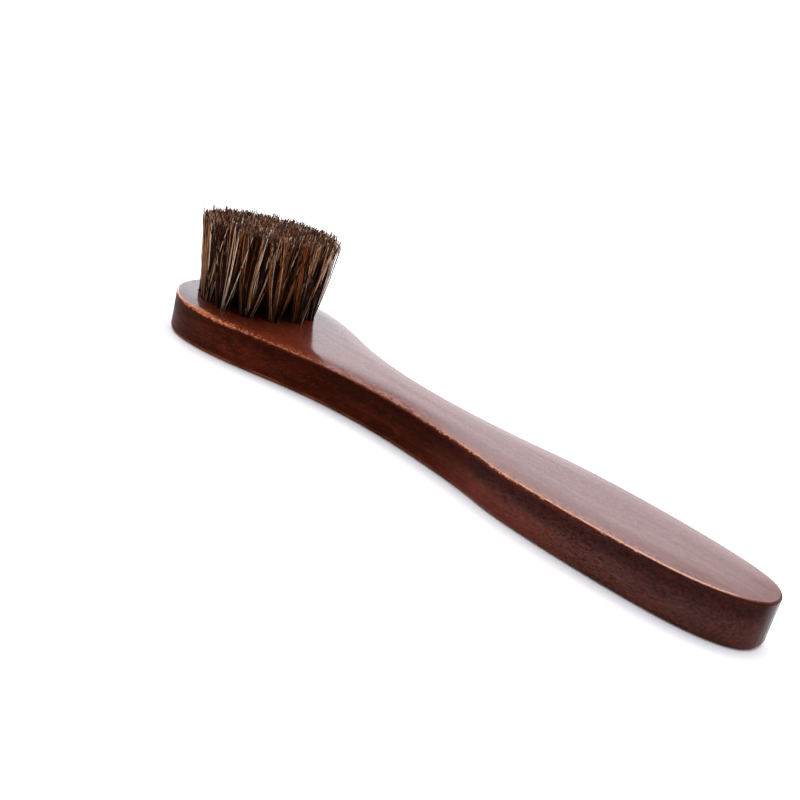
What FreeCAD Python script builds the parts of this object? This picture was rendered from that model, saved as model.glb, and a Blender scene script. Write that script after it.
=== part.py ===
import FreeCAD, Part
import math
import os
from FreeCAD import Vector

# Shoe shine brush with a round head: one flat wooden handle, tufts of horsehair folded into
# drilled holes, and a flat wire anchor driven over the fold of each tuft.
# It lies on its back with the hair up. X runs from the head to the butt and Z is up, with the
# origin under the middle of the handle. All sizes are in millimetres.

# Handle outline: distances along the handle are from the head's centre, half widths from the axis.
# The drop is how far the top face has rolled down where it meets the edge.
overall_length = 169.4
head_radius, head_drop = 21.0, 0.6
shoulder_x, shoulder_half_width, shoulder_drop = 16.0, 18.7, 0.65
throat_x, throat_half_width, throat_drop = 30.0, 14.0, 0.7
upper_neck_x, upper_neck_half_width, upper_neck_drop = 45.0, 10.1, 0.6
neck_x, neck_half_width, neck_drop = 60.0, 8.4, 0.52
lower_neck_x, lower_neck_half_width, lower_neck_drop = 75.0, 8.55, 0.5
grip_start_x, grip_start_half_width, grip_start_drop = 90.0, 10.0, 0.42
grip_x, grip_half_width, grip_drop = 109.0, 11.8, 0.38
flank_x, flank_half_width, flank_drop = 130.0, 10.75, 0.4
butt_corner_x, butt_corner_half_width = 143.0, 7.6
butt_roll_half_width, butt_drop = 9.5, 0.5

# Handle thickness on the axis: the top face falls from the nose to the neck and is level beyond
nose_thickness = 10.4
head_ramp_end_x, head_ramp_end_thickness = 20.0, 9.7
waist_x, waist_thickness = 76.0, 9.3
butt_thickness = 9.45
edge_roll_width = 6.0
top_edge_radius = 0.5
bottom_edge_radius = 1.0

# Drilled holes in the head
hole_radius = 1.6
hole_depth = 6.0
hole_rim_bevel = 0.2
drill_point_angle = 118.0

# Rings of holes: name, tufts in the ring, ring radius at the wood, ring radius at the hair tips,
# radius of one tuft at its tips, angle of the first tuft in degrees
rings = (
    ("outer", 13, 14.1, 14.8, 3.2, -46.0),
    ("middle", 8, 8.0, 8.2, 3.0, -60.0),
    ("inner", 3, 2.7, 2.75, 2.3, -20.0),
)

# Tufts
hair_length = 20.6
plug_clearance = 0.05
plug_stand_up = 0.3
fold_radius = 0.9
spread_start = 0.4
spread_start_growth = 0.5

# Wire anchors
anchor_width = 3.9
anchor_height = 1.6
anchor_thickness = 0.4
anchor_depth = 4.2
anchor_clearance = 0.03

# Values worked out from the driving dimensions
head_x = head_radius - overall_length / 2.0
butt_x = overall_length - head_radius
ramp_slope = (head_ramp_end_thickness - nose_thickness) / (head_ramp_end_x + head_radius)
cut_margin = 5.0


def at(x, y, z=0.0):
    """Turns a place measured from the head's centre into the brush's own frame."""
    return Vector(head_x + x, y, z)


def head_top(x):
    """Height of the head's top face at a distance x from the head's centre."""
    return head_ramp_end_thickness + ramp_slope * (x - head_ramp_end_x)


def top_height(x):
    """Height of the top face on the axis: a straight ramp over the head, then a shallow curve."""
    if x <= head_ramp_end_x:
        return head_top(x)
    end_x, end_thickness = butt_x, butt_thickness
    if x <= waist_x:
        end_x, end_thickness = head_ramp_end_x, head_ramp_end_thickness
    end_roll = max(0.0, x - butt_x + edge_roll_width) / edge_roll_width
    rise = (end_thickness - waist_thickness) * ((x - waist_x) / (end_x - waist_x)) ** 2
    return waist_thickness + rise - butt_drop * end_roll ** 2


def spline(points, start_tangent, end_tangent):
    """A smooth edge through the points with set directions at its two ends."""
    curve = Part.BSplineCurve()
    curve.interpolate(Points=points, InitialTangent=start_tangent, FinalTangent=end_tangent)
    return curve.toShape()


def outline_face():
    """The handle seen from above: round head, drawn-in neck, swelling grip and rounded butt."""
    sides = (
        (0.0, head_radius),
        (shoulder_x, shoulder_half_width),
        (throat_x, throat_half_width),
        (upper_neck_x, upper_neck_half_width),
        (neck_x, neck_half_width),
        (lower_neck_x, lower_neck_half_width),
        (grip_start_x, grip_start_half_width),
        (grip_x, grip_half_width),
    )
    end = (
        (grip_x, grip_half_width),
        (flank_x, flank_half_width),
        (butt_corner_x, butt_corner_half_width),
        (butt_x, 0.0),
    )
    along = Vector(1, 0, 0)
    edges = [Part.Arc(at(0, -head_radius), at(-head_radius, 0), at(0, head_radius)).toShape()]
    for side in (1, -1):
        edges.append(spline([at(x, side * y) for x, y in sides], along, along))
        edges.append(spline([at(x, side * y) for x, y in end], along, Vector(0, -side, 0)))
    return Part.Face(Part.Wire(Part.__sortEdges__(edges)))


def top_surface():
    """The crowned top face: level along the middle and rolled down towards both edges."""
    places = (
        (-head_radius - cut_margin, head_radius, head_drop),
        (-0.5 * head_radius, head_radius, head_drop),
        (0.0, head_radius, head_drop),
        (shoulder_x, shoulder_half_width, shoulder_drop),
        (throat_x, throat_half_width, throat_drop),
        (upper_neck_x, upper_neck_half_width, upper_neck_drop),
        (neck_x, neck_half_width, neck_drop),
        (lower_neck_x, lower_neck_half_width, lower_neck_drop),
        (grip_start_x, grip_start_half_width, grip_start_drop),
        (grip_x, grip_half_width, grip_drop),
        (flank_x, flank_half_width, flank_drop),
        (butt_x - edge_roll_width, butt_roll_half_width, butt_drop),
        (butt_x - 0.5 * edge_roll_width, butt_roll_half_width, butt_drop),
        (butt_x, butt_roll_half_width, butt_drop),
        (butt_x + 0.5 * edge_roll_width, butt_roll_half_width, butt_drop),
    )
    rows = []
    for x, half_width, drop in places:
        level = half_width - edge_roll_width
        rolled = [level + edge_roll_width * share for share in (0.0, 0.25, 0.5, 0.75, 1.0, 1.25)]
        row = []
        for y in [-y for y in reversed(rolled)] + [-0.5 * level, 0.0, 0.5 * level] + rolled:
            share = max(0.0, abs(y) - level) / edge_roll_width
            row.append(at(x, y, top_height(x) - drop * share ** 2))
        rows.append(row)
    surface = Part.BSplineSurface()
    surface.interpolate(rows)
    return surface.toShape()


def rounded_blank():
    """The shaped handle with its long edges rounded, before it is drilled."""
    block = outline_face().extrude(Vector(0, 0, nose_thickness + cut_margin))
    blank = block.cut(top_surface().extrude(Vector(0, 0, 2.0 * nose_thickness)))
    bottom = [edge for edge in blank.Edges if edge.BoundBox.ZMax < 0.01]
    rim = [edge for edge in blank.Edges if edge.BoundBox.ZMin > 0.5 * butt_thickness]
    return blank.makeFillet(top_edge_radius, rim).makeFillet(bottom_edge_radius, bottom)


def holes():
    """Every hole as name, centre at the wood and centre and radius at the hair tips."""
    places = []
    for ring, count, root_ring, tip_ring, tip_radius, first_angle in rings:
        for index in range(count):
            angle = math.radians(first_angle + 360.0 * index / count)
            out = Vector(math.cos(angle), math.sin(angle), 0)
            name = "tuft_%s_%02d" % (ring, index + 1)
            places.append((name, out * root_ring, out * tip_ring, tip_radius))
    return places


def drilled_hole(root):
    """A blind hole with the cone that the drill's point leaves and a broken edge at its rim."""
    top = head_top(root.x)
    floor = top - hole_depth
    point = hole_radius / math.tan(math.radians(drill_point_angle / 2.0))
    up = Vector(0, 0, 1)
    shaft = Part.makeCylinder(hole_radius, hole_depth + cut_margin, at(root.x, root.y, floor), up)
    cone = Part.makeCone(0.0, hole_radius, point, at(root.x, root.y, floor - point), up)
    wide = hole_radius + 2.0 * hole_rim_bevel
    rim_floor = at(root.x, root.y, top - hole_rim_bevel)
    rim = Part.makeCone(hole_radius, wide, 2.0 * hole_rim_bevel, rim_floor, up)
    return shaft.fuse([cone, rim])


def anchor(root, clearance=0.0):
    """A flat wire anchor lying across the hole, its ends in the wood on both sides."""
    width = anchor_width + 2.0 * clearance
    thickness = anchor_thickness + 2.0 * clearance
    height = anchor_height + 2.0 * clearance
    middle = head_top(root.x) - anchor_depth
    corner = at(root.x - width / 2.0, root.y - thickness / 2.0, middle - height / 2.0)
    return Part.makeBox(width, thickness, height, corner)


def tuft(root, tip, tip_radius):
    """A folded lock of hair: a plug round the anchor in the hole, then a spreading brush."""
    radius = hole_radius - plug_clearance
    top = head_top(root.x)
    floor = top - hole_depth + plug_clearance
    up = Vector(0, 0, 1)
    plug = Part.makeCylinder(radius, hole_depth + plug_stand_up, at(root.x, root.y, floor), up)
    fold = [edge for edge in plug.Edges if abs(edge.BoundBox.ZMax - floor) < 0.01]
    plug = plug.makeFillet(fold_radius, fold)
    stations = (
        (0.0, radius),
        (spread_start, radius + (tip_radius - radius) * spread_start_growth),
        (1.0, tip_radius),
    )
    start = floor + hole_depth + plug_stand_up
    end = head_top(tip.x) + hair_length
    sections = []
    for share, section_radius in stations:
        place = root + (tip - root) * share
        centre = at(place.x, place.y, start + (end - start) * share)
        sections.append(Part.Wire(Part.makeCircle(section_radius, centre, up)))
    brush = Part.makeLoft(sections, True, False)
    return plug.fuse(brush).removeSplitter().cut(anchor(root, anchor_clearance))


def handle(places):
    """The rounded blank with its holes drilled and a nick for each end of every anchor."""
    cutters = []
    for name, root, tip, tip_radius in places:
        cutters.append(drilled_hole(root))
        cutters.append(anchor(root, anchor_clearance))
    return rounded_blank().cut(cutters)


os.makedirs("parts", exist_ok=True)
places = holes()
handle(places).exportStep("parts/handle.step")
Part.makeCompound([anchor(root) for name, root, tip, tip_radius in places]).exportStep(
    "parts/anchor_staples.step")
for name, root, tip, tip_radius in places:
    tuft(root, tip, tip_radius).exportStep("parts/%s.step" % name)
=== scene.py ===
import math
import random

import bmesh
import bpy
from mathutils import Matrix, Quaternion, Vector


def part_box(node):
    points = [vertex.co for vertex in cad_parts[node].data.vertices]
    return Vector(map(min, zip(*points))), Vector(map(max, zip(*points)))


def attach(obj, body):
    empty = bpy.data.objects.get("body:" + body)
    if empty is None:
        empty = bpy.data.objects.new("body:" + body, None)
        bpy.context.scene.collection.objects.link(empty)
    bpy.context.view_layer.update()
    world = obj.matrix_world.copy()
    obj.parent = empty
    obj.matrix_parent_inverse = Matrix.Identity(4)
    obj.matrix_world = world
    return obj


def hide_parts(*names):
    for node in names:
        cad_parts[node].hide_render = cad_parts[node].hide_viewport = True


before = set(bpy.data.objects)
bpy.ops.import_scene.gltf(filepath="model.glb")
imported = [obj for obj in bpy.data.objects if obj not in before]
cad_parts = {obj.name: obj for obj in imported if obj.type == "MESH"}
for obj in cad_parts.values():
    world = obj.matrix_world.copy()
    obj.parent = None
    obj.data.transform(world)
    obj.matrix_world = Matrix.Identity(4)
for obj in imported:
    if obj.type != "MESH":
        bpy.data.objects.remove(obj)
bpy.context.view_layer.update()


# Handle
# One flat blank of close-grained hardwood, sawn to a round head, a narrow neck and a swelling grip.
# It is stained dark red-brown and lacquered; handling has worn the rounded edges back to bare wood.
# Shade on the head's top and the side walls, bounce light low on the grip, a dark reflection at the
# butt's rim and a highlight along the grip's rim are painted into its colour.


def make_streaks():
    """Node group: noise on the piece's own coordinates, drawn out by its own scale on each axis."""
    group = bpy.data.node_groups.new("streaks", "ShaderNodeTree")
    group.interface.new_socket("Stretch", in_out="INPUT", socket_type="NodeSocketVector")
    group.interface.new_socket("Detail", in_out="INPUT", socket_type="NodeSocketFloat")
    group.interface.new_socket("Value", in_out="OUTPUT", socket_type="NodeSocketFloat")
    values = group.nodes.new("NodeGroupInput")
    place = group.nodes.new("ShaderNodeTexCoord")
    drawn = group.nodes.new("ShaderNodeMapping")
    noise = group.nodes.new("ShaderNodeTexNoise")
    result = group.nodes.new("NodeGroupOutput")
    noise.inputs["Scale"].default_value = 1.0
    noise.inputs["Roughness"].default_value = 0.6
    group.links.new(place.outputs["Object"], drawn.inputs["Vector"])
    group.links.new(values.outputs["Stretch"], drawn.inputs["Scale"])
    group.links.new(drawn.outputs["Vector"], noise.inputs["Vector"])
    group.links.new(values.outputs["Detail"], noise.inputs["Detail"])
    group.links.new(noise.outputs["Fac"], result.inputs["Value"])
    return group


def new_look(name):
    """A new node material and its shader."""
    material = bpy.data.materials.new(name)
    material.use_nodes = True
    return material, material.node_tree.nodes["Principled BSDF"]


def feed(material, value, socket):
    """Gives an input socket its value: a wire from an output socket, a number or a colour."""
    if isinstance(value, bpy.types.NodeSocket):
        material.node_tree.links.new(value, socket)
    elif isinstance(value, tuple) and len(value) < len(socket.default_value):
        socket.default_value = (*value, 1.0)
    else:
        socket.default_value = value


def streak_layer(material, stretch, detail):
    """The streaks group placed in a material with its own scale on each axis."""
    layer = material.node_tree.nodes.new("ShaderNodeGroup")
    layer.node_tree = streaks
    feed(material, stretch, layer.inputs["Stretch"])
    feed(material, detail, layer.inputs["Detail"])
    return layer.outputs["Value"]


def ramp(material, value, low, high, out_low=0.0, out_high=1.0):
    """A value eased from one range to another and held at its ends."""
    eased = material.node_tree.nodes.new("ShaderNodeMapRange")
    eased.interpolation_type = "SMOOTHSTEP"
    feed(material, value, eased.inputs["Value"])
    feed(material, low, eased.inputs["From Min"])
    feed(material, high, eased.inputs["From Max"])
    feed(material, out_low, eased.inputs["To Min"])
    feed(material, out_high, eased.inputs["To Max"])
    return eased.outputs["Result"]


def combine(material, operation, first, second):
    """Two values added, subtracted, multiplied or divided, or the larger of them."""
    maths = material.node_tree.nodes.new("ShaderNodeMath")
    maths.operation = operation
    feed(material, first, maths.inputs[0])
    feed(material, second, maths.inputs[1])
    return maths.outputs["Value"]


def product(material, first, *others):
    """Several masks or values multiplied together."""
    for other in others:
        first = combine(material, "MULTIPLY", first, other)
    return first


def blend(material, share, first, second, way="MIX"):
    """The first colour where the share is nought and the second, or their product, where it is one."""
    mix = material.node_tree.nodes.new("ShaderNodeMix")
    mix.data_type = "RGBA"
    mix.blend_type = way
    feed(material, share, mix.inputs["Factor"])
    feed(material, first, mix.inputs[6])
    feed(material, second, mix.inputs[7])
    return mix.outputs[2]


def profile(material, position, low, high, points):
    """A curve of given heights, each between nought and one, over a stretch of a coordinate."""
    share = material.node_tree.nodes.new("ShaderNodeMapRange")
    feed(material, position, share.inputs["Value"])
    feed(material, low, share.inputs["From Min"])
    feed(material, high, share.inputs["From Max"])
    curve = material.node_tree.nodes.new("ShaderNodeFloatCurve")
    line = curve.mapping.curves[0]
    line.points[0].location = points[0]
    line.points[1].location = points[-1]
    for point in points[1:-1]:
        line.points.new(*point)
    curve.mapping.update()
    feed(material, share.outputs["Result"], curve.inputs["Value"])
    return curve.outputs["Value"]


def along_profile(*points):
    """A curve of given heights over the handle's whole length, from the nose to the butt."""
    return profile(wood, along_handle, handle_low.x, handle_high.x, points)


# The darkest stain also serves as painted shade on the head's top and as a painted dark reflection on the
# butt's rim.
stain_dark_and_shade = (0.042, 0.0070, 0.0026)
stain_mid = (0.112, 0.0165, 0.0060)
stain_light = (0.205, 0.0450, 0.0200)
# Painted shade tint multiplied onto the side walls.
wall_shade_tint = (0.415, 0.35, 0.30)
# Painted shade tint multiplied onto the side walls along the handle.
neck_shade_tint = (0.68, 0.64, 0.55)
# Painted shade tint multiplied onto the side walls just under the grip's rim.
rim_shade_tint = (0.82, 0.57, 0.52)
pore_black = (0.014, 0.0030, 0.0015)
bare_brown = (0.270, 0.0760, 0.0300)
# Bare red wood worn just under the rim; also the colour of painted bounce light low on the grip's side
# walls.
bare_red_and_bounce_light = (0.280, 0.0450, 0.0200)
bare_orange = (0.580, 0.1850, 0.0750)
bare_tan = (0.640, 0.3000, 0.1600)
# Pale pink of the worn rim near the butt, together with a painted highlight.
bare_and_highlight_pink = (0.560, 0.3300, 0.2500)
dust_grey = (0.55, 0.47, 0.43)

head_radius = 0.021
head_slope = 0.0171
shoulder_heights = (0.0080, 0.0091)
outline_steps = 24
outline_reach = 0.003
past_nose = (-0.066, -0.045)
head_to_neck = (-0.050, -0.010)
grip_start = (0.010, 0.032)
grip_end = (0.060, 0.072)
sheen_end = (0.050, 0.072)
butt_corner = (0.076, 0.083)
rim_foot = (0.12, 0.34)
rim_top = (0.990, 0.965)
flake_range = (0.66, 0.94)
pore_range = (0.38, 0.64)
band_share = 0.80
edge_share = 0.74
chip_share = 0.6
roll_raggedness = 0.7
dust_scale = 150.0
dust_edge = (0.035, 0.018)
dust_pick_range = (0.86, 0.87)
grain_strength = 0.3
grain_depth = 0.00006

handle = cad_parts["handle"]
handle_low, handle_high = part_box("handle")
head_middle = Vector((handle_low.x + head_radius, 0.0, 0.0))
streaks = make_streaks()
wood, lacquer = new_look("stained_wood")
lacquer.inputs["Specular IOR Level"].default_value = 0.015
lacquer.inputs["Coat Roughness"].default_value = 0.13
lacquer.inputs["Coat IOR"].default_value = 1.53

surface = wood.node_tree.nodes.new("ShaderNodeTexCoord")
facing = wood.node_tree.nodes.new("ShaderNodeSeparateXYZ")
place = wood.node_tree.nodes.new("ShaderNodeSeparateXYZ")
feed(wood, surface.outputs["Normal"], facing.inputs["Vector"])
feed(wood, surface.outputs["Object"], place.inputs["Vector"])
upward = facing.outputs["Z"]
along_handle, across_handle, height = place.outputs

bands = streak_layer(wood, (30.0, 520.0, 520.0), 4.0)
mottle = streak_layer(wood, (90.0, 220.0, 220.0), 3.0)
fibres = streak_layer(wood, (420.0, 3300.0, 3300.0), 3.0)
pores = streak_layer(wood, (1400.0, 4000.0, 4000.0), 3.0)
stain = blend(wood, ramp(wood, bands, 0.30, 0.66), stain_dark_and_shade, stain_mid)
stain = blend(wood, ramp(wood, fibres, 0.48, 0.74, 0.0, 0.70), stain, stain_light)
stain = blend(wood, ramp(wood, mottle, 0.52, 0.74, 0.0, 0.40), stain, stain_dark_and_shade)
stain = blend(wood, ramp(wood, pores, 0.58, 0.70, 0.0, 0.80), stain, pore_black)
side_evenness = ramp(wood, along_handle, 0.040, 0.070, 0.10, 0.28)
evenness = product(wood, ramp(wood, upward, 0.80, 0.97, side_evenness, 0.55),
                   ramp(wood, along_handle, -0.055, -0.030, 0.30, 1.0))
stain = blend(wood, evenness, stain, stain_mid)
# Painted shade: the head's top, under and around the tufts, is darkened towards the darkest stain.
painted_head_shade = product(wood, ramp(wood, along_handle, -0.036, -0.054, 0.0, 0.48),
                     ramp(wood, upward, 0.5, 0.9))
stain = blend(wood, painted_head_shade, stain, stain_dark_and_shade)

on_side = ramp(wood, upward, 0.5, 0.1)
figure = streak_layer(wood, (75.0, 1200.0, 1200.0), 3.0)
figure_along = along_profile((0.0, 1.0), (0.20, 1.0), (0.32, 0.25), (0.50, 0.30), (0.65, 0.70),
                             (0.85, 1.0), (1.0, 1.0))
on_figure = product(wood, on_side, figure_along)
dark_figure = product(wood, on_figure, ramp(wood, figure, 0.54, 0.38, 0.0, 0.45))
stain = blend(wood, dark_figure, stain, stain_dark_and_shade)
light_figure = product(wood, on_figure, ramp(wood, figure, 0.52, 0.68, 0.0, 0.22))
stain = blend(wood, light_figure, stain, stain_light)
# Painted shade: the side walls are darkened by a multiplied tint, less towards the foot, where the
# lighter colour is painted bounce light from the floor.
foot_shade = combine(wood, "ADD", ramp(wood, along_handle, *grip_start, 0.42, 0.20),
                     ramp(wood, along_handle, 0.040, 0.056, 0.0, 0.32))
painted_wall_shade = product(wood, on_side, ramp(wood, height, 0.0030, 0.0080, foot_shade, 1.0))
stain = blend(wood, painted_wall_shade, stain, wall_shade_tint, "MULTIPLY")
# Painted bounce light: the lowest part of the grip's side walls is blended towards bare red as if lit
# from the floor.
painted_floor_bounce = product(wood, on_side, ramp(wood, height, 0.0060, 0.0030, 0.0, 0.24),
                   ramp(wood, along_handle, *grip_start),
                   ramp(wood, along_handle, 0.042, 0.058, 1.0, 0.10))
stain = blend(wood, painted_floor_bounce, stain, bare_red_and_bounce_light)
# Painted shade: a darker band high on the grip's side walls just under the rim, stronger on the near
# side.
dark_foot = ramp(wood, along_handle, *grip_end, 0.0040, 0.0026)
dark_full = ramp(wood, along_handle, *grip_end, 0.0070, 0.0046)
painted_rim_shade = product(wood, on_side, ramp(wood, height, dark_foot, dark_full),
                    ramp(wood, along_handle, -0.005, 0.020),
                    ramp(wood, across_handle, 0.003, -0.003, 0.3, 1.0))
stain = blend(wood, painted_rim_shade, stain, rim_shade_tint, "MULTIPLY")
# Painted shade: the side walls are darkened along a listed profile, most from the neck into the grip.
neck_shade_along = along_profile((0.0, 0.20), (0.10, 0.60), (0.16, 0.25), (0.22, 0.0), (0.34, 0.90),
                           (0.52, 1.0), (0.68, 0.70), (0.85, 0.45), (1.0, 0.3))
stain = blend(wood, product(wood, on_side, neck_shade_along), stain, neck_shade_tint, "MULTIPLY")

outline = [(0.0, 1.0)]
for step in range(1, outline_steps):
    middle = head_middle.x + (handle_high.x - head_middle.x) * step / outline_steps
    near = [abs(v.co.y) for v in handle.data.vertices if abs(v.co.x - middle) < outline_reach]
    outline.append((step / outline_steps, max(near) / handle_high.y))
outline.append((1.0, 0.0))
past_head = combine(wood, "MAXIMUM", along_handle, head_middle.x)
half_width = product(wood, handle_high.y,
                     profile(wood, past_head, head_middle.x, handle_high.x, outline))
flat_place = wood.node_tree.nodes.new("ShaderNodeCombineXYZ")
feed(wood, combine(wood, "SUBTRACT", along_handle, past_head), flat_place.inputs["X"])
feed(wood, across_handle, flat_place.inputs["Y"])
from_axis = wood.node_tree.nodes.new("ShaderNodeVectorMath")
from_axis.operation = "LENGTH"
feed(wood, flat_place.outputs["Vector"], from_axis.inputs[0])
from_edge = combine(wood, "SUBTRACT", half_width, from_axis.outputs["Value"])

rubbing = streak_layer(wood, (110.0, 160.0, 160.0), 3.0)
flaking = streak_layer(wood, (1500.0, 3800.0, 3800.0), 3.0)
chips = streak_layer(wood, (520.0, 1500.0, 1500.0), 2.0)
flakes = combine(wood, "ADD", flaking, product(wood, chips, chip_share))
near_side = ramp(wood, across_handle, 0.005, -0.003, 0.28, 1.0)
wear_along = along_profile((0.0, 0.50), (0.05, 0.72), (0.09, 0.94), (0.18, 1.0), (0.235, 0.58),
                           (0.28, 0.46), (0.40, 0.40), (0.44, 0.32), (0.51, 0.40), (0.55, 0.50),
                           (0.59, 0.58), (0.64, 0.60), (0.73, 0.70), (0.78, 0.62), (0.82, 0.58),
                           (0.87, 0.52), (0.92, 0.48), (1.0, 0.30))
band_along = along_profile((0.0, 0.0), (0.08, 0.15), (0.12, 0.85), (0.16, 1.0), (0.20, 0.92),
                           (0.24, 0.62), (0.30, 0.54), (0.40, 0.46), (0.50, 0.20), (1.0, 0.10))
rim_line = product(wood, ramp(wood, upward, *rim_foot), ramp(wood, upward, 0.985, 0.93))
band = product(wood, ramp(wood, from_edge, 0.0034, 0.0006), ramp(wood, upward, 0.10, 0.30))
head_fall = product(wood, combine(wood, "SUBTRACT", along_handle, head_middle.x), head_slope)
shoulder = product(wood, ramp(wood, combine(wood, "ADD", height, head_fall), *shoulder_heights),
                   ramp(wood, upward, 0.985, 0.95))
band = product(wood, combine(wood, "MAXIMUM", band, shoulder), band_along, band_share)
rim = combine(wood, "MAXIMUM", product(wood, rim_line, wear_along), band)
rim = product(wood, rim, near_side, ramp(wood, rubbing, 0.34, 0.58, 0.82, 1.0))
edge_line = product(wood, ramp(wood, from_edge, 0.0013, 0.0003), ramp(wood, upward, *rim_foot),
                    wear_along, near_side, edge_share)
rim = combine(wood, "MAXIMUM", rim, edge_line)
worn = ramp(wood, combine(wood, "ADD", rim, flakes), 1.32, 1.66)

# The pale line along the grip's top rim is bare worn wood with a painted highlight.
wear_and_highlight_along = along_profile((0.0, 0.0), (0.55, 0.0), (0.62, 0.42), (0.70, 0.58), (0.74, 0.74),
                           (0.82, 0.72), (0.93, 0.86), (0.97, 0.70), (0.99, 0.0), (1.0, 0.0))
wear_and_highlight_line = product(wood, ramp(wood, upward, 0.60, 0.75), ramp(wood, upward, *rim_top),
                    ramp(wood, across_handle, 0.001, -0.003), wear_and_highlight_along,
                    ramp(wood, flakes, 0.62, 0.86, 0.45, 1.0))
# Painted reflection: the rounded top edge at the butt's end is darkened like a dark reflection, and its
# coat weight is lowered there too.
butt_rim_dark_reflection = product(wood, ramp(wood, upward, 0.15, 0.35), ramp(wood, upward, *rim_top),
                   ramp(wood, along_handle, 0.0808, 0.0838, 0.0, 0.75))
foot_along = along_profile((0.0, 0.3), (0.10, 0.85), (0.34, 0.85), (0.50, 0.50), (0.75, 0.35),
                           (0.88, 0.0), (1.0, 0.0))
foot_line = product(wood, ramp(wood, upward, -0.10, -0.35), ramp(wood, upward, -0.95, -0.70),
                    foot_along, ramp(wood, rubbing, 0.36, 0.60, 0.30, 1.0))
below_rim = product(wood, ramp(wood, height, 0.0076, 0.0090, 0.0, 0.60), wear_along,
                    ramp(wood, upward, 0.6, 0.2),
                    ramp(wood, along_handle, -0.010, 0.030, 0.20, 1.0),
                    ramp(wood, along_handle, 0.045, 0.068, 1.0, 0.25),
                    ramp(wood, flaking, 0.36, 0.62, 0.4, 1.0))

roll_width = ramp(wood, along_handle, -0.035, 0.020, 0.0050, 0.0032)
roll_share = combine(wood, "ADD", combine(wood, "DIVIDE", from_edge, roll_width),
                     product(wood, flaking, roll_raggedness))
rolled = product(wood, ramp(wood, roll_share, 1.30, 0.40), ramp(wood, upward, 0.45, 0.90),
                 ramp(wood, along_handle, *past_nose), near_side)
flecks = streak_layer(wood, (1000.0, 2100.0, 2100.0), 3.0)
fleck_start = ramp(wood, along_handle, *head_to_neck, 0.50, 0.38)
fleck_end = ramp(wood, along_handle, *head_to_neck, 0.60, 0.64)
rolled_light = product(wood, rolled, ramp(wood, flecks, fleck_start, fleck_end, 0.0, 0.95))
fleck_warmth = product(wood, ramp(wood, from_edge, 0.0040, 0.0010, 0.0, 0.8),
                       ramp(wood, along_handle, -0.022, -0.040))

bare_light = blend(wood, ramp(wood, along_handle, -0.045, 0.005), bare_orange, bare_tan)
bare = blend(wood, ramp(wood, flakes, *flake_range), bare_brown, bare_light)
fleck_colour = blend(wood, fleck_warmth, bare_brown, bare_orange)
# Colour of the worn rim line with its painted highlight: tan along the grip, pale pink near the butt.
wear_and_highlight_colour = blend(wood, ramp(wood, along_handle, 0.040, 0.066), bare_tan, bare_and_highlight_pink)
dust_cells = wood.node_tree.nodes.new("ShaderNodeTexVoronoi")
dust_cells.inputs["Scale"].default_value = dust_scale
feed(wood, surface.outputs["Object"], dust_cells.inputs["Vector"])
dust_pick = wood.node_tree.nodes.new("ShaderNodeSeparateColor")
feed(wood, dust_cells.outputs["Color"], dust_pick.inputs["Color"])
dust = product(wood, ramp(wood, dust_cells.outputs["Distance"], *dust_edge),
               ramp(wood, dust_pick.outputs["Red"], *dust_pick_range))
surface_colour = stain
# Of these layers, the pale rim line carries a painted highlight and the butt's rim a painted dark
# reflection; the rest are wear and dust.
for share, colour in ((rolled_light, fleck_colour), (foot_line, bare_brown), (below_rim, bare_red_and_bounce_light),
                      (worn, bare), (wear_and_highlight_line, wear_and_highlight_colour), (butt_rim_dark_reflection, stain_dark_and_shade), (dust, dust_grey)):
    surface_colour = blend(wood, share, surface_colour, colour)
feed(wood, surface_colour, lacquer.inputs["Base Color"])

side_gloss_along = along_profile((0.0, 0.22), (0.07, 0.13), (0.10, 0.07), (0.14, 0.03), (0.30, 0.0),
                                 (0.55, 0.01), (0.72, 0.20), (0.90, 0.28), (1.0, 0.30))
pore_gloss_high = ramp(wood, along_handle, *sheen_end, 1.8, 1.45)
pore_gloss_low = ramp(wood, along_handle, *sheen_end, 0.2, 0.55)
side_gloss = product(wood, side_gloss_along,
                     ramp(wood, pores, *pore_range, pore_gloss_high, pore_gloss_low),
                     ramp(wood, height, 0.0040, 0.0070, 1.15, 0.50))
end_gloss = product(wood, ramp(wood, facing.outputs["Y"], -0.60, 0.15, 0.0, 0.80),
                    ramp(wood, along_handle, *butt_corner))
side_gloss = combine(wood, "MAXIMUM", side_gloss, end_gloss)
neck_roll = product(wood, ramp(wood, from_edge, 0.0072, 0.0003), near_side,
                    ramp(wood, along_handle, 0.030, -0.004, 0.12, 1.0),
                    ramp(wood, along_handle, *past_nose))
broken = ramp(wood, flakes, *flake_range, 0.10, 0.90)
grip_gloss = ramp(wood, across_handle, -0.008, 0.006, 1.09, 0.96)
gloss = product(
    wood,
    combine(wood, "MAXIMUM", ramp(wood, upward, 0.3, 0.93), side_gloss),
    ramp(wood, bands, 0.34, 0.66, 0.93, 1.0),
    ramp(wood, fibres, 0.36, 0.60, 0.895, 1.0),
    ramp(wood, pores, *pore_range, 1.0, 0.81),
    ramp(wood, along_handle, -0.005, 0.025, 0.94, 1.0),
    ramp(wood, neck_roll, 0.0, 1.0, 1.0, broken),
    ramp(wood, along_handle, 0.055, 0.082, 1.0, 0.90),
    ramp(wood, along_handle, 0.020, 0.060, 1.0, grip_gloss),
    ramp(wood, along_handle, *butt_corner, 1.0, 0.88),
    ramp(wood, worn, 0.0, 1.0, 1.0, 0.45),
    ramp(wood, butt_rim_dark_reflection, 0.0, 1.0, 1.0, 0.15),
)
feed(wood, gloss, lacquer.inputs["Coat Weight"])
feed(wood, ramp(wood, fibres, 0.35, 0.75, 0.45, 0.60), lacquer.inputs["Roughness"])
grain = wood.node_tree.nodes.new("ShaderNodeBump")
grain.inputs["Strength"].default_value = grain_strength
grain.inputs["Distance"].default_value = grain_depth
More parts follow.
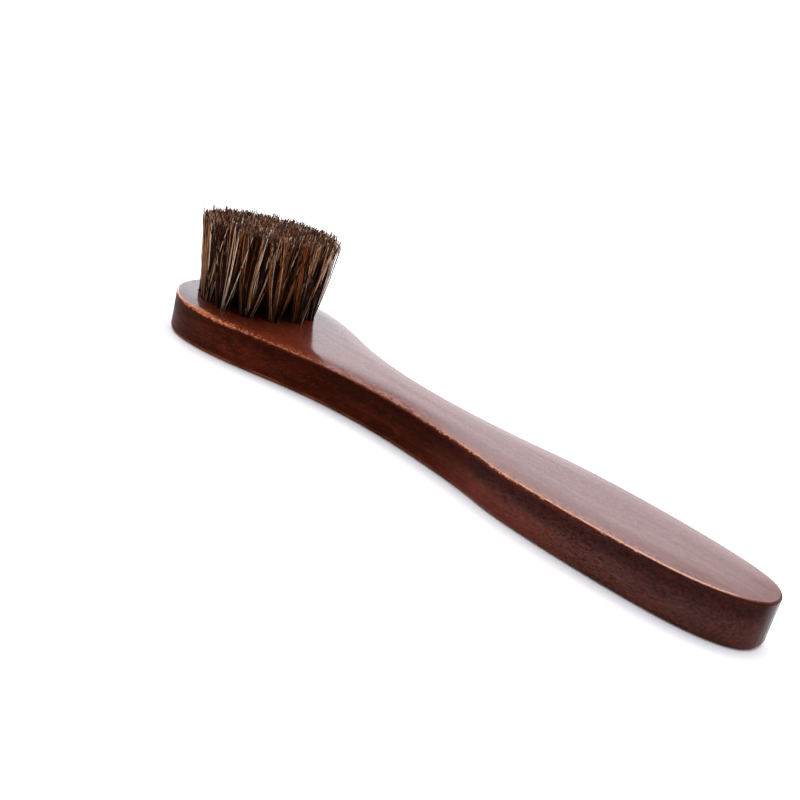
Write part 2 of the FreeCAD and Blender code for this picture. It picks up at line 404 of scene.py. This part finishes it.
feed(wood, fibres, grain.inputs["Height"])
feed(wood, grain.outputs["Normal"], lacquer.inputs["Normal"])

handle.data.materials.clear()
handle.data.materials.append(wood)


# Wire anchors
# A short flat wire lies over the fold of each tuft, deep in its hole, and bites into the wood.
# The wire is bright drawn steel with fine lines along it.

drawn_light = (0.60, 0.60, 0.58)
drawn_dark = (0.34, 0.34, 0.33)

wire, steel = new_look("anchor_wire")
steel.inputs["Metallic"].default_value = 1.0
drawing = streak_layer(wire, (900.0, 9000.0, 9000.0), 3.0)
feed(wire, blend(wire, drawing, drawn_dark, drawn_light), steel.inputs["Base Color"])
feed(wire, ramp(wire, drawing, 0.3, 0.7, 0.22, 0.45), steel.inputs["Roughness"])
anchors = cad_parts["anchor_staples"]
anchors.data.materials.clear()
anchors.data.materials.append(wire)


# Tufts
# Locks of mixed black, chestnut and tan horsehair, each folded over its anchor in a drilled hole.
# They leave the wood as tight bundles, fan out and cross their neighbours, and are cut level.
# Shade deep in the brush, at the roots and in patches at the tips is painted into the hair's colour.

hair_length = 0.0206
hair_radius = 0.000116
locks = 94
hairs_in_lock = 3
short_hairs = 80
bundle_radius = 0.00135
depth_in_hole = 0.0012
side_spread = 0.0021
lock_width = 0.00014
lock_spread = 0.00042
cut_unevenness = 0.00055
bend_size = 0.00080
outward_bend_share = 0.3
outward_share, outward_scatter, outward_limit = 0.85, 0.15, 0.80
sideways_share, sideways_scatter = 0.75, 0.38
inner_ease = (0.55, 0.85)
outer_ease = (1.0, 1.4)
lean_to_handle = 0.00045
stray_share, stray_factor = 0.06, 3.0
thickness_range = (0.45, 1.35)
hair_taper = 0.15
short_length_range = (0.45, 0.9)
end_tolerance = 0.0002
stations = (0.0, 0.10, 0.26, 0.45, 0.64, 0.83, 1.0)
sides_of_hair = 4

# The black and dark tones also serve as painted shade deep in the brush, at the roots and at the tips.
black_hair_and_shade = (0.0050, 0.0017, 0.0008)
dark_hair_and_shade = (0.028, 0.0085, 0.0030)
chestnut_hair = (0.320, 0.0860, 0.0210)
tan_hair = (0.640, 0.2900, 0.1200)
blond_hair = (0.950, 0.7900, 0.6200)
tone_shares = ((0.54, 0.0, 0.20), (0.84, 0.44, 0.66), (1.0, 0.70, 0.88))
tone_scatter = 0.10
short_tones = (0.0, 0.3)
pale_share = 0.07
pale_tones = (0.90, 1.0)
# Share of painted shade on hairs deep in the brush.
deep_shade_share = 0.80
patch_range = (0.3, 0.7)

hair, strand = new_look("horsehair")
strand.inputs["Specular IOR Level"].default_value = 0.04
tone = hair.node_tree.nodes.new("ShaderNodeAttribute")
tone.attribute_name = "tone"
along = hair.node_tree.nodes.new("ShaderNodeAttribute")
along.attribute_name = "along"
colours = hair.node_tree.nodes.new("ShaderNodeValToRGB")
colours.color_ramp.elements[0].color = (*black_hair_and_shade, 1.0)
colours.color_ramp.elements[1].color = (*blond_hair, 1.0)
for position, colour in ((0.30, dark_hair_and_shade), (0.58, chestnut_hair), (0.82, tan_hair)):
    colours.color_ramp.elements.new(position).color = (*colour, 1.0)
feed(hair, tone.outputs["Fac"], colours.inputs["Fac"])
patches = streak_layer(hair, (2500.0, 2500.0, 260.0), 2.0)
toned = blend(hair, ramp(hair, patches, *patch_range, 0.0, 0.45), colours.outputs["Color"], dark_hair_and_shade)
from_middle = hair.node_tree.nodes.new("ShaderNodeVectorMath")
from_middle.operation = "DISTANCE"
in_plan = hair.node_tree.nodes.new("ShaderNodeVectorMath")
in_plan.operation = "MULTIPLY"
in_plan.inputs[1].default_value = (1.0, 1.0, 0.0)
hair_place = hair.node_tree.nodes.new("ShaderNodeTexCoord")
feed(hair, hair_place.outputs["Object"], in_plan.inputs[0])
feed(hair, in_plan.outputs["Vector"], from_middle.inputs[0])
from_middle.inputs[1].default_value = head_middle
# Painted shade: hairs near the middle of the head are darkened towards black over their lower part, where
# the brush is deep in shade.
painted_deep_shade = product(hair, ramp(hair, from_middle.outputs["Value"], 0.0142, 0.0118),
               ramp(hair, along.outputs["Fac"], 0.92, 0.60), deep_shade_share)
toned = blend(hair, painted_deep_shade, toned, black_hair_and_shade)
# Painted shade: every hair darkens towards black over its lower part, most at the root.
toned = blend(hair, ramp(hair, along.outputs["Fac"], 0.65, 0.0, 0.0, 0.60), toned, black_hair_and_shade)
# Painted shade: the cut tips are darkened in patches, standing in for the shaded gaps between clumps.
painted_tip_shade = product(hair, ramp(hair, along.outputs["Fac"], 0.86, 1.0),
                    ramp(hair, patches, 0.36, 0.62, 0.15, 0.80))
toned = blend(hair, painted_tip_shade, toned, dark_hair_and_shade)
feed(hair, toned, strand.inputs["Base Color"])
feed(hair, ramp(hair, patches, *patch_range, 0.30, 0.48), strand.inputs["Roughness"])


def ends_of(node):
    """Middle of a tuft at the wood and at its cut tips, and its radius there, from its CAD node."""
    low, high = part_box(node)
    points = [vertex.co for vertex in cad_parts[node].data.vertices]
    middles = []
    for level in (low.z, high.z):
        ring = [point for point in points if abs(point.z - level) < end_tolerance]
        xs = [point.x for point in ring]
        ys = [point.y for point in ring]
        middles.append(Vector(((min(xs) + max(xs)) / 2, (min(ys) + max(ys)) / 2, level)))
    root, tip = middles
    root.z = tip.z - hair_length
    return root, tip, (max(xs) - min(xs)) / 2


def lock_path(root, tip, tip_radius, is_inside, chance):
    """Start, end and bend of one lock: upright out of the hole, then fanning to its spot at the tips."""
    outward = (root - head_middle) * Vector((1.0, 1.0, 0.0))
    outward.normalize()
    sideways = Vector((-outward.y, outward.x, 0.0))
    reach = math.sqrt(chance.random())
    turn = chance.uniform(0.0, 2.0 * math.pi)
    out, side = reach * math.cos(turn), reach * math.sin(turn)
    start = root + (outward * out + sideways * side) * bundle_radius
    start.z -= depth_in_hole
    out = min(outward_limit, outward_share * out + chance.gauss(0.0, outward_scatter))
    side = sideways_share * side + chance.gauss(0.0, sideways_scatter)
    end = tip + outward * out * tip_radius + sideways * side * (tip_radius + side_spread)
    end.x += lean_to_handle
    bend = sideways * chance.gauss(0.0, bend_size)
    bend += outward * chance.gauss(0.0, outward_bend_share * bend_size)
    ease = chance.uniform(*(inner_ease if is_inside else outer_ease))
    return start, end, bend, ease


def hair_line(path, share_of_length, chance):
    """Places along one hair of a lock, a little apart from the others at the root and more at the tip."""
    start, end, bend, ease = path
    stray = stray_factor if chance.random() < stray_share else 1.0
    start = start + Vector((chance.gauss(0.0, lock_width), chance.gauss(0.0, lock_width), 0.0))
    apart = lock_spread * stray
    tip_shift = [chance.gauss(0.0, size) for size in (apart, apart, cut_unevenness)]
    end = end + Vector(tip_shift)
    line = []
    for station in stations:
        share = station * share_of_length
        place = start.lerp(end, share ** ease)
        place.z = start.z + (end.z - start.z) * share
        line.append(place + bend * math.sin(math.pi * share))
    return line


def lock_tone(chance):
    """The tone of one lock: most are near black, many chestnut and some tan."""
    pick = chance.random()
    for limit, low, high in tone_shares:
        if pick <= limit:
            return chance.uniform(low, high)


def make_tuft(node, seed):
    """One tuft as a mesh of fine tubes, with each hair's tone and the way along it as attributes."""
    chance = random.Random(seed)
    root, tip, tip_radius = ends_of(node)
    curve = bpy.data.curves.new(node + "_hair", "CURVE")
    curve.dimensions = "3D"
    curve.bevel_depth = hair_radius
    curve.bevel_resolution = 0
    tones = []
    for index in range(locks + short_hairs):
        is_short = index >= locks
        path = lock_path(root, tip, tip_radius, "outer" not in node, chance)
        tone = chance.uniform(*short_tones) if is_short else lock_tone(chance)
        for hair_index in range(1 if is_short else hairs_in_lock):
            share_of_length = chance.uniform(*short_length_range) if is_short else 1.0
            line = hair_line(path, share_of_length, chance)
            spline = curve.splines.new("POLY")
            spline.points.add(len(line) - 1)
            thickness = chance.uniform(*thickness_range)
            for point, place, station in zip(spline.points, line, stations):
                point.co = (*place, 1.0)
                point.radius = thickness * (1.0 - hair_taper * station)
            is_pale = not is_short and chance.random() < pale_share
            hair_tone = chance.uniform(*pale_tones) if is_pale else tone + chance.gauss(0.0, tone_scatter)
            tones.append(min(1.0, max(0.0, hair_tone)))
    lines = bpy.data.objects.new(node + "_lines", curve)
    bpy.context.collection.objects.link(lines)
    mesh = bpy.data.meshes.new_from_object(lines.evaluated_get(bpy.context.evaluated_depsgraph_get()))
    bpy.data.objects.remove(lines)
    bpy.data.curves.remove(curve)
    tone_of = mesh.attributes.new("tone", "FLOAT", "POINT")
    along_of = mesh.attributes.new("along", "FLOAT", "POINT")
    in_hair = sides_of_hair * len(stations)
    for index in range(len(mesh.vertices)):
        tone_of.data[index].value = tones[index // in_hair]
        along_of.data[index].value = stations[index % in_hair // sides_of_hair]
    shell = bmesh.new()
    shell.from_mesh(mesh)
    bmesh.ops.holes_fill(shell, edges=shell.edges, sides=sides_of_hair)
    shell.to_mesh(mesh)
    shell.free()
    mesh.shade_smooth()
    mesh.materials.clear()
    mesh.materials.append(hair)
    piece = bpy.data.objects.new(node + "_hair", mesh)
    bpy.context.collection.objects.link(piece)
    return piece


tuft_nodes = sorted(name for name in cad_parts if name.startswith("tuft_"))
for seed, node in enumerate(tuft_nodes):
    piece = make_tuft(node, seed)
    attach(piece, "root")
    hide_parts(node)


# Floor
# A seamless sheet of matt white paper under the brush, far larger than the picture.
# It lies flat on the table at the height of the brush's back.

paper_white = (0.95, 0.95, 0.955)
paper_half = 6.0
paper_roughness = 0.9
paper_shine = 0.1

sheet = bmesh.new()
bmesh.ops.create_grid(sheet, x_segments=1, y_segments=1, size=paper_half)
paper_mesh = bpy.data.meshes.new("paper")
sheet.to_mesh(paper_mesh)
sheet.free()
paper_look, matt = new_look("paper")
matt.inputs["Base Color"].default_value = (*paper_white, 1.0)
matt.inputs["Roughness"].default_value = paper_roughness
matt.inputs["Specular IOR Level"].default_value = paper_shine
paper_mesh.materials.append(paper_look)
paper = bpy.data.objects.new("paper", paper_mesh)
bpy.context.collection.objects.link(paper)


# Light
# White studio surroundings that light the brush more from behind than from the front.
# One soft box hangs overhead and a smaller one stands at the left.


def soft_box(name, place, target, size, power):
    """A square soft light that faces the target and isn't seen itself."""
    lamp = bpy.data.lights.new(name, "AREA")
    lamp.shape = "SQUARE"
    lamp.size = size
    lamp.energy = power
    box = bpy.data.objects.new(name, lamp)
    box.location = place
    box.rotation_euler = (Vector(target) - Vector(place)).to_track_quat("-Z", "Y").to_euler()
    box.visible_camera = False
    bpy.context.collection.objects.link(box)


top_place, top_size, top_power = (0.15, 0.25, 1.10), 1.3, 9.0
side_place, side_size, side_power = (-0.95, 0.10, 0.40), 0.6, 4.0
back_direction = (-0.671, 0.741, 0.0)
back_range = (-0.5, 0.6)
front_strength, back_strength = 0.40, 1.97
surroundings_white = (0.975, 0.960, 1.02)

soft_box("top_box", top_place, (0.0, 0.0, 0.0), top_size, top_power)
soft_box("side_box", side_place, head_middle, side_size, side_power)

surroundings = bpy.data.worlds.new("surroundings")
surroundings.use_nodes = True
sky = surroundings.node_tree.nodes["Background"]
direction = surroundings.node_tree.nodes.new("ShaderNodeTexCoord")
toward_back = surroundings.node_tree.nodes.new("ShaderNodeVectorMath")
toward_back.operation = "DOT_PRODUCT"
toward_back.inputs[1].default_value = back_direction
feed(surroundings, direction.outputs["Generated"], toward_back.inputs[0])
strength = ramp(surroundings, toward_back.outputs["Value"], *back_range, front_strength, back_strength)
seen = surroundings.node_tree.nodes.new("ShaderNodeLightPath")
seen_strength = product(surroundings, seen.outputs["Is Camera Ray"], back_strength)
feed(surroundings, combine(surroundings, "MAXIMUM", strength, seen_strength), sky.inputs["Strength"])
sky.inputs["Color"].default_value = (*surroundings_white, 1.0)
bpy.context.scene.world = surroundings
bpy.context.scene.view_settings.view_transform = "Standard"


# Camera
# Close to the grip, a little above the handle and turned about its own axis, as in the photograph.
# The focal length is that of the fitted view, in pixels of the picture.

eye = Vector((0.12377, -0.14291, 0.06816))
aim = Vector((-0.00873, 0.00350, 0.00500))
roll = math.radians(14.57)
focal_pixels = 897.8
picture_pixels = 800.0

lens = bpy.data.cameras.new("camera")
lens.sensor_width = 36.0
lens.lens = lens.sensor_width * focal_pixels / picture_pixels
lens.clip_start = 0.005
lens.clip_end = 50.0
camera = bpy.data.objects.new("camera", lens)
camera.location = eye
look = (aim - eye).to_track_quat("-Z", "Y")
camera.rotation_euler = (look @ Quaternion((0.0, 0.0, 1.0), roll)).to_euler()
bpy.context.collection.objects.link(camera)
bpy.context.scene.camera = camera
